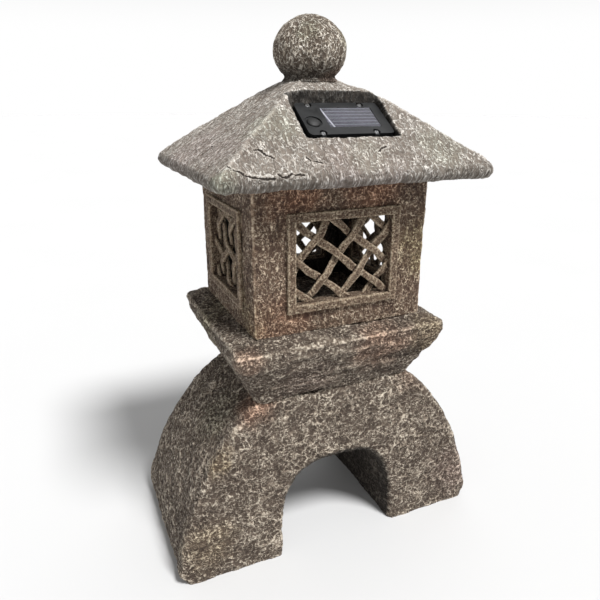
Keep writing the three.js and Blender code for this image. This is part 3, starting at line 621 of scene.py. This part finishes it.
# Each stain: its middle and its radius in millimetres, its colour, its strength.
ARCH_STAINS = (
    ((-92, -70, 186), 34, RUST, 0.48), ((-138, -92, 135), 26, YELLOW, 0.52),
    ((-128, -30, 165), 46, LICHEN, 0.45), ((158, -80, 40), 46, PURPLE, 0.41),
    ((-150, -92, 40), 40, YELLOW, 0.26), ((95, -60, 186), 40, RUST, 0.22),
    ((140, 60, 120), 50, MOSS, 0.38), ((-60, 92, 160), 44, RUST, 0.22),
)
PLATFORM_STAINS = (
    ((40, -105, 236), 46, RUST, 0.39), ((-104, -100, 246), 22, RUST, 0.31),
    ((98, -98, 236), 34, YELLOW, 0.34), ((-100, 20, 240), 46, MOSS, 0.30),
    ((60, 100, 220), 50, RUST, 0.22), ((-40, -84, 205), 40, PURPLE, 0.26),
)
BOX_STAINS = (
    ((-50, -84, 396), 44, RUST, 0.48), ((30, -84, 399), 46, RUST, 0.48),
    ((-62, -84, 270), 40, RUST, 0.31), ((88, -82, 330), 42, MOSS, 0.45),
    ((-94, -60, 275), 34, MOSS, 0.30), ((0, 84, 396), 60, RUST, 0.34), ((94, 10, 396), 60, RUST, 0.29),
)
ROOF_STAINS = (
    ((-132, -119, 410), 26, LICHEN, 0.68), ((-70, -70, 446), 34, LICHEN, 0.41),
    ((-120, 10, 420), 60, PURPLE, 0.22), ((10, -105, 425), 30, LICHEN, 0.38),
    ((90, -95, 425), 36, LICHEN, 0.34), ((60, 80, 445), 50, LICHEN, 0.34),
    ((0, -119, 404), 60, PURPLE, 0.26), ((-100, -60, 425), 40, PURPLE, 0.19),
)
FINIAL_STAINS = (
    ((-14, -30, 532), 18, LICHEN, 0.52), ((20, -16, 485), 26, RUST, 0.45), ((32, -8, 525), 24, MOSS, 0.38),
)

SKIN_SMOOTHING = 2
# Node, body, material slot, size of the skin's faces in millimetres, relief, colours, stains, painted
# shade.
CASTINGS = (
    ("base_arch", "base", "dark_stone", 1.6, arch_relief, DARK, ARCH_STAINS, tunnel_shade),
    ("platform", "base", "dark_stone", 1.3, platform_relief, DARK, PLATFORM_STAINS, None),
    ("light_box", "base", "dark_stone", 1.4, box_relief, BROWN, BOX_STAINS, chamber_shade),
    ("roof", "roof", "pale_stone", 1.4, roof_relief, PALE, ROOF_STAINS, recess_shade),
    ("finial", "roof", "finial_stone", 0.9, finial_relief, BALL, FINIAL_STAINS, neck_shade),
)


def make_castings():
    """Puts a carved skin in place of each stone casting."""
    for node, body, slot, voxel, relief, ramp, stains, shade in CASTINGS:
        piece = remeshed(welded_copy(node, f"{node}_stone"), voxel * MM, SKIN_SMOOTHING)
        carve(piece, relief)
        piece.data.materials.clear()
        piece.data.materials.append(stone_material(f"{node}_finish", relief, ramp, stains, shade))
        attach(piece, body)
        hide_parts(node)


# ---- woven windows ----------------------------------------------------------------------------

# The same pattern as the CAD's: the lean of the rising slats, and where each slat runs.
RISING = math.radians(52.5)
FALLING = RISING - math.pi / 2
RISING_OFFSETS = (-35.4, -4.8, 23.8, 47.1)
FALLING_OFFSETS = (-51.7, -28.2, 0.2, 24.2, 49.5)
SLAT_WIDTH, SLAT_THICKNESS, WEAVE, SLAT_DEPTH = 7.2, 3.4, 2.2, 8.5
SLAT_SIDES, SLAT_STEP, FEWEST_STEPS = 12, 1.6, 6
SLAT_INTO_FRAME = 2.0
FRAME_BORDER, NECK_WALL, FRAME_PROUD, NECK_END = 8.4, 4.1, 3.9, 16.2
CHAMFER_IN, CHAMFER_BACK = 0.8, 0.9
LATTICE_SKIN, LATTICE_SMOOTHING = 0.8, 1
LATTICE_ARRIS = 8.0  # the thin slats' edges are brushed the most


def wall_axes(node):
    """From a window's own millimetres to the lantern's metres, and the window's width and height.

    The window's own x runs along the wall, y up and z out of the frame's face.
    """
    low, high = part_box(node)
    middle, half = (low + high) / 2, (high - low) / 2
    out = Vector((0, math.copysign(1, middle.y), 0))
    if abs(middle.x) > abs(middle.y):
        out = Vector((math.copysign(1, middle.x), 0, 0))
    up = Vector((0, 0, 1))
    along = up.cross(out)
    face = middle + out * abs(half.dot(out))
    width = 2 * abs(half.dot(along))
    turn = Matrix((along, up, out)).transposed().to_4x4()
    return Matrix.Translation(face) @ turn @ Matrix.Scale(MM, 4), width / MM, 2 * half.z / MM


def frame_ring(width, height):
    """The window frame and its neck: one section carried round the opening's four corners."""
    half_x, half_y = width / 2 - FRAME_BORDER, height / 2 - FRAME_BORDER
    section = (
        (CHAMFER_IN, 0), (FRAME_BORDER - CHAMFER_IN, 0), (FRAME_BORDER, -CHAMFER_BACK),
        (FRAME_BORDER, -FRAME_PROUD), (NECK_WALL, -FRAME_PROUD), (NECK_WALL, -NECK_END),
        (0, -NECK_END), (0, -CHAMFER_BACK),
    )
    points, faces = [], []
    for sx, sy in ((1, 1), (-1, 1), (-1, -1), (1, -1)):
        points += [(sx * (half_x + a), sy * (half_y + a), z) for a, z in section]
    count = len(section)
    for corner in range(4):
        here, there = corner * count, (corner + 1) % 4 * count
        for i in range(count):
            j = (i + 1) % count
            faces.append((here + i, here + j, there + j, there + i))
    return points, faces


def wander(t, seed):
    """How far a hand-cut strip strays sideways at this place along it, and its width there."""
    sway = 0.55 * math.sin(t * 0.11 + seed * 2.1) + 0.3 * math.sin(t * 0.29 + seed)
    return sway, SLAT_WIDTH * (1 + 0.09 * math.sin(t * 0.17 + seed * 1.3))


def slat_section(width):
    """The corners of a flat rounded section: how far across the strip, and how far out."""
    for k in range(SLAT_SIDES):
        turn = 2 * math.pi * k / SLAT_SIDES
        c, s = math.cos(turn), math.sin(turn)
        across = math.copysign(abs(c) ** 0.45, c) * width / 2
        out = math.copysign(abs(s) ** 0.6, s) * SLAT_THICKNESS / 2
        yield across, out


def tube_faces(rings, sides):
    """The sides and the two ends of a solid made of rings of corners."""
    faces = []
    for ring in range(rings - 1):
        for k in range(sides):
            here, there = ring * sides + k, ring * sides + (k + 1) % sides
            faces.append((here, there, there + sides, here + sides))
    last = (rings - 1) * sides
    return faces + [tuple(reversed(range(sides))), tuple(range(last, last + sides))]


def slat(angle, offset, crossings, phase, half_x, half_y, seed):
    """A flat strip that swings out over one crossing strip and in under the next."""
    along = np.array((math.cos(angle), math.sin(angle)))
    across = np.array((math.sin(angle), -math.cos(angle)))
    base = across * offset
    spans = [sorted(((-h - b) / a, (h - b) / a)) for a, b, h in zip(along, base, (half_x, half_y))]
    start, end = max(s[0] for s in spans), min(s[1] for s in spans)
    crossings = sorted(crossings)
    sides = [1 if (i + phase) % 2 == 0 else -1 for i in range(len(crossings))]
    steps = max(FEWEST_STEPS, int((end - start) / SLAT_STEP))
    points = []
    for n in range(steps + 1):
        t = start + (end - start) * n / steps
        depth = math.sin(np.interp(t, crossings, sides) * math.pi / 2) * WEAVE
        sway, width = wander(t, seed)
        middle = base + along * t + across * sway
        for u, v in slat_section(width):
            x, y = middle + across * u
            points.append((x, y, depth - SLAT_DEPTH + v))
    return points, tube_faces(steps + 1, SLAT_SIDES)


def make_window(node):
    """A frame and its woven slats, joined into one skin and carved."""
    to_lantern, width, height = wall_axes(node)
    half_x, half_y = (side / 2 - FRAME_BORDER + SLAT_INTO_FRAME for side in (width, height))
    solids = [frame_ring(width, height)]
    for i, offset in enumerate(RISING_OFFSETS):
        solids.append(slat(RISING, offset, FALLING_OFFSETS, i, half_x, half_y, i))
    for i, offset in enumerate(FALLING_OFFSETS):
        solids.append(slat(FALLING, -offset, RISING_OFFSETS, i + 1, half_x, half_y, i + 7))
    work = bmesh.new()
    for points, faces in solids:
        verts = [work.verts.new(to_lantern @ Vector(p)) for p in points]
        for face in faces:
            work.faces.new([verts[i] for i in face])
    bmesh.ops.recalc_face_normals(work, faces=work.faces)
    mesh = bpy.data.meshes.new(f"{node}_lattice")
    work.to_mesh(mesh)
    work.free()
    piece = remeshed(new_piece(f"{node}_lattice", mesh), LATTICE_SKIN * MM, LATTICE_SMOOTHING)
    carve(piece, lattice_relief)
    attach(piece, "base")
    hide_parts(node)
    return piece


def make_windows():
    """One window on each wall, all of one finish."""
    finish = stone_material("lattice_finish", lattice_relief, WOVEN, arris=LATTICE_ARRIS)
    for side in ("front", "right", "back", "left"):
        piece = make_window(f"window_{side}")
        piece.data.materials.append(finish)


# ---- lamp unit --------------------------------------------------------------------------------


PLASTIC_GRAIN, PLASTIC_GRAIN_DEPTH = 0.35, 0.03
UNIT_MIDDLE, UNIT_TILT = (7.5, -59.0, 454.0), math.radians(33.5)
GRID_PITCH, GRID_START = 4.8, 15.4  # of the cell's lines, up the unit's slope from its middle
BUS_LEFT, BUS_LEAN = 15.2, 0.16


def object_point(f):
    """The place on a piece, in millimetres."""
    return f.vector_math("SCALE", f.put("ShaderNodeTexCoord").outputs["Object"], scale=1 / MM)


def plastic_material(name, colour, roughness):
    """Moulded plastic or rubber with a fine spark-eroded grain and faint wear."""
    material, f, shader = new_material(name)
    point = object_point(f)
    grain = f.noise(point, PLASTIC_GRAIN, 2.0)
    wear = f.noise(point, 9.0, 3.0)
    dull = tuple(min(1.0, c * 1.5 + 0.004) for c in rgb(colour))
    f.feed(shader.inputs["Base Color"], f.mix(f.ease(wear, 0.4, 0.7, 0.0, 0.5), rgb(colour), dull))
    f.feed(shader.inputs["Roughness"], f.ease(wear, 0.3, 0.7, roughness - 0.06, roughness + 0.1))
    depth = PLASTIC_GRAIN_DEPTH * MM
    bump = f.put("ShaderNodeBump", {"Height": grain, "Strength": 0.4, "Distance": depth})
    f.feed(shader.inputs["Normal"], bump.outputs[0])
    return material


def metal_material(name, colour, roughness):
    """Bright metal, duller and darker in patches."""
    material, f, shader = new_material(name)
    tarnish = f.noise(object_point(f), 2.0, 3.0)
    dark = tuple(c * 0.6 for c in rgb(colour))
    f.feed(shader.inputs["Base Color"], f.mix(f.ease(tarnish, 0.4, 0.7), rgb(colour), dark))
    shader.inputs["Metallic"].default_value = 1.0
    f.feed(shader.inputs["Roughness"], f.ease(tarnish, 0.3, 0.7, roughness, roughness + 0.2))
    return material


def cell_material():
    """Violet-grey silicon with pale grid lines across it and a silver bus line near its left end."""
    material, f, shader = new_material("cell_finish")
    point = object_point(f)
    crystal = f.noise(point, 5.0, 3.0)
    silicon = f.mix(f.ease(crystal, 0.35, 0.65), rgb("3d3a47"), rgb("4c4856"))
    x, y, z = f.split(f.vector_math("SUBTRACT", point, UNIT_MIDDLE))
    up = f.add(f.mul(y, math.cos(UNIT_TILT)), f.mul(z, math.sin(UNIT_TILT)))
    row = f.math("FRACT", f.mul(f.add(up, GRID_START), 1 / GRID_PITCH))
    line = f.ease(f.absolute(f.sub(row, 0.5)), 0.075, 0.03)
    off_bus = f.absolute(f.add(x, f.blend(((up, BUS_LEAN),), BUS_LEFT)))
    metal = f.largest(f.mul(line, 0.55), f.ease(off_bus, 1.0, 0.6))
    f.feed(shader.inputs["Base Color"], f.mix(metal, silicon, rgb("dddbe0")))
    shader.inputs["Roughness"].default_value = 0.35
    return material


def glazing_material():
    """Clear potting, a little uneven in gloss."""
    material, f, shader = new_material("glazing_finish")
    ripple = f.noise(object_point(f), 6.0, 2.0)
    shader.inputs["Base Color"].default_value = (0.9, 0.92, 0.95, 1)
    shader.inputs["Transmission Weight"].default_value = 1.0
    shader.inputs["IOR"].default_value = 1.35
    f.feed(shader.inputs["Roughness"], f.ease(ripple, 0.3, 0.7, 0.04, 0.12))
    return material


FINISHES = {
    "black_plastic": lambda: plastic_material("black_plastic_finish", "161718", 0.42),
    "black_rubber": lambda: plastic_material("black_rubber_finish", "1a1a1a", 0.55),
    "steel": lambda: metal_material("steel_finish", "c9cacb", 0.22),
    "silicon": cell_material,
    "clear_resin": glazing_material,
    "frosted_plastic": lambda: plastic_material("frosted_finish", "d8d3c2", 0.5),
    "board": lambda: plastic_material("board_finish", "1f5a34", 0.35),
    "battery_wrap": lambda: plastic_material("battery_finish", "2f7f4f", 0.3),
    "copper": lambda: metal_material("copper_finish", "b8734a", 0.3),
}
# Radius of the rounded edges of the moulded nodes, in millimetres.
ROUNDED = {"housing": 0.6, "face_cover": 0.35, "switch_cap": 0.3, "gasket": 0.2, "battery": 0.3}


def round_edges(node, radius):
    """Rounds the sharp edges of a node, by modifiers only."""
    weld = node.modifiers.new("weld", "WELD")
    weld.merge_threshold = WELD
    bevel = node.modifiers.new("bevel", "BEVEL")
    bevel.width, bevel.segments = radius * MM, 3
    bevel.limit_method, bevel.angle_limit = "ANGLE", math.radians(40)


def finish_lamp_unit():
    """Gives every CAD node that still shows its own finish, and the moulded ones rounded edges."""
    made = {}
    for row in frame["record"]["subparts"]:
        node, slot = frame["nodes"][row["node"]], row["material_slot"]
        if node.hide_render:
            continue
        if slot not in made:
            made[slot] = FINISHES[slot]()
        node.data.materials.clear()
        node.data.materials.append(made[slot])
        if row["node"] in ROUNDED:
            round_edges(node, ROUNDED[row["node"]])
        for polygon in node.data.polygons:
            polygon.use_smooth = False


# ---- studio -----------------------------------------------------------------------------------


FLOOR_RADIUS, FLOOR_SIDES = 14, 64
FLOOR_SHADES = (0.62, 0.64)
WORLD_LOW, WORLD_HIGH = 0.08, 0.4  # the surround dims between these heights of the view
WORLD_DIM = 0.35


def make_floor():
    """A wide plain pale floor."""
    mesh = bpy.data.meshes.new("floor")
    turns = [2 * math.pi * i / FLOOR_SIDES for i in range(FLOOR_SIDES)]
    rim = [(FLOOR_RADIUS * math.cos(a), FLOOR_RADIUS * math.sin(a), 0) for a in turns]
    mesh.from_pydata(rim, [], [tuple(range(FLOOR_SIDES))])
    floor = new_piece("floor", mesh)
    material, f, shader = new_material("floor_finish")
    cloud = f.noise(f.put("ShaderNodeTexCoord").outputs["Object"], 0.4, 3.0)
    darker, paler = ((shade,) * 3 for shade in FLOOR_SHADES)
    f.feed(shader.inputs["Base Color"], f.mix(cloud, darker, paler))
    shader.inputs["Roughness"].default_value = 1.0
    shader.inputs["Specular IOR Level"].default_value = 0.0
    mesh.materials.append(material)


def sun(name, source, power, softness):
    """Parallel light from the direction of its source, softened over this many degrees."""
    data = bpy.data.lights.new(name, "SUN")
    data.energy, data.angle = power, math.radians(softness)
    light = bpy.data.objects.new(name, data)
    bpy.context.scene.collection.objects.link(light)
    light.rotation_euler = (-Vector(source)).to_track_quat("-Z", "Y").to_euler()


def make_studio():
    """A pale surround, brightest at the horizon, with a soft key high in front."""
    scene = bpy.context.scene
    scene.view_settings.view_transform = "Standard"
    world = bpy.data.worlds.new("studio")
    world.use_nodes = True
    f = Formula(world.node_tree)
    height = f.split(f.put("ShaderNodeTexCoord").outputs["Generated"])[2]
    back = world.node_tree.nodes["Background"]
    back.inputs["Color"].default_value = (1, 1, 1, 1)
    f.feed(back.inputs["Strength"], f.ease(height, WORLD_LOW, WORLD_HIGH, 1.0, WORLD_DIM))
    scene.world = world
    make_floor()
    sun("key", source=(0.22, -0.50, 0.84), power=4.2, softness=16)
    sun("back_fill", source=(0.5, 0.7, 0.5), power=0.5, softness=60)


# ---- build ------------------------------------------------------------------------------------

make_camera()
make_castings()
make_windows()
finish_lamp_unit()
make_studio()
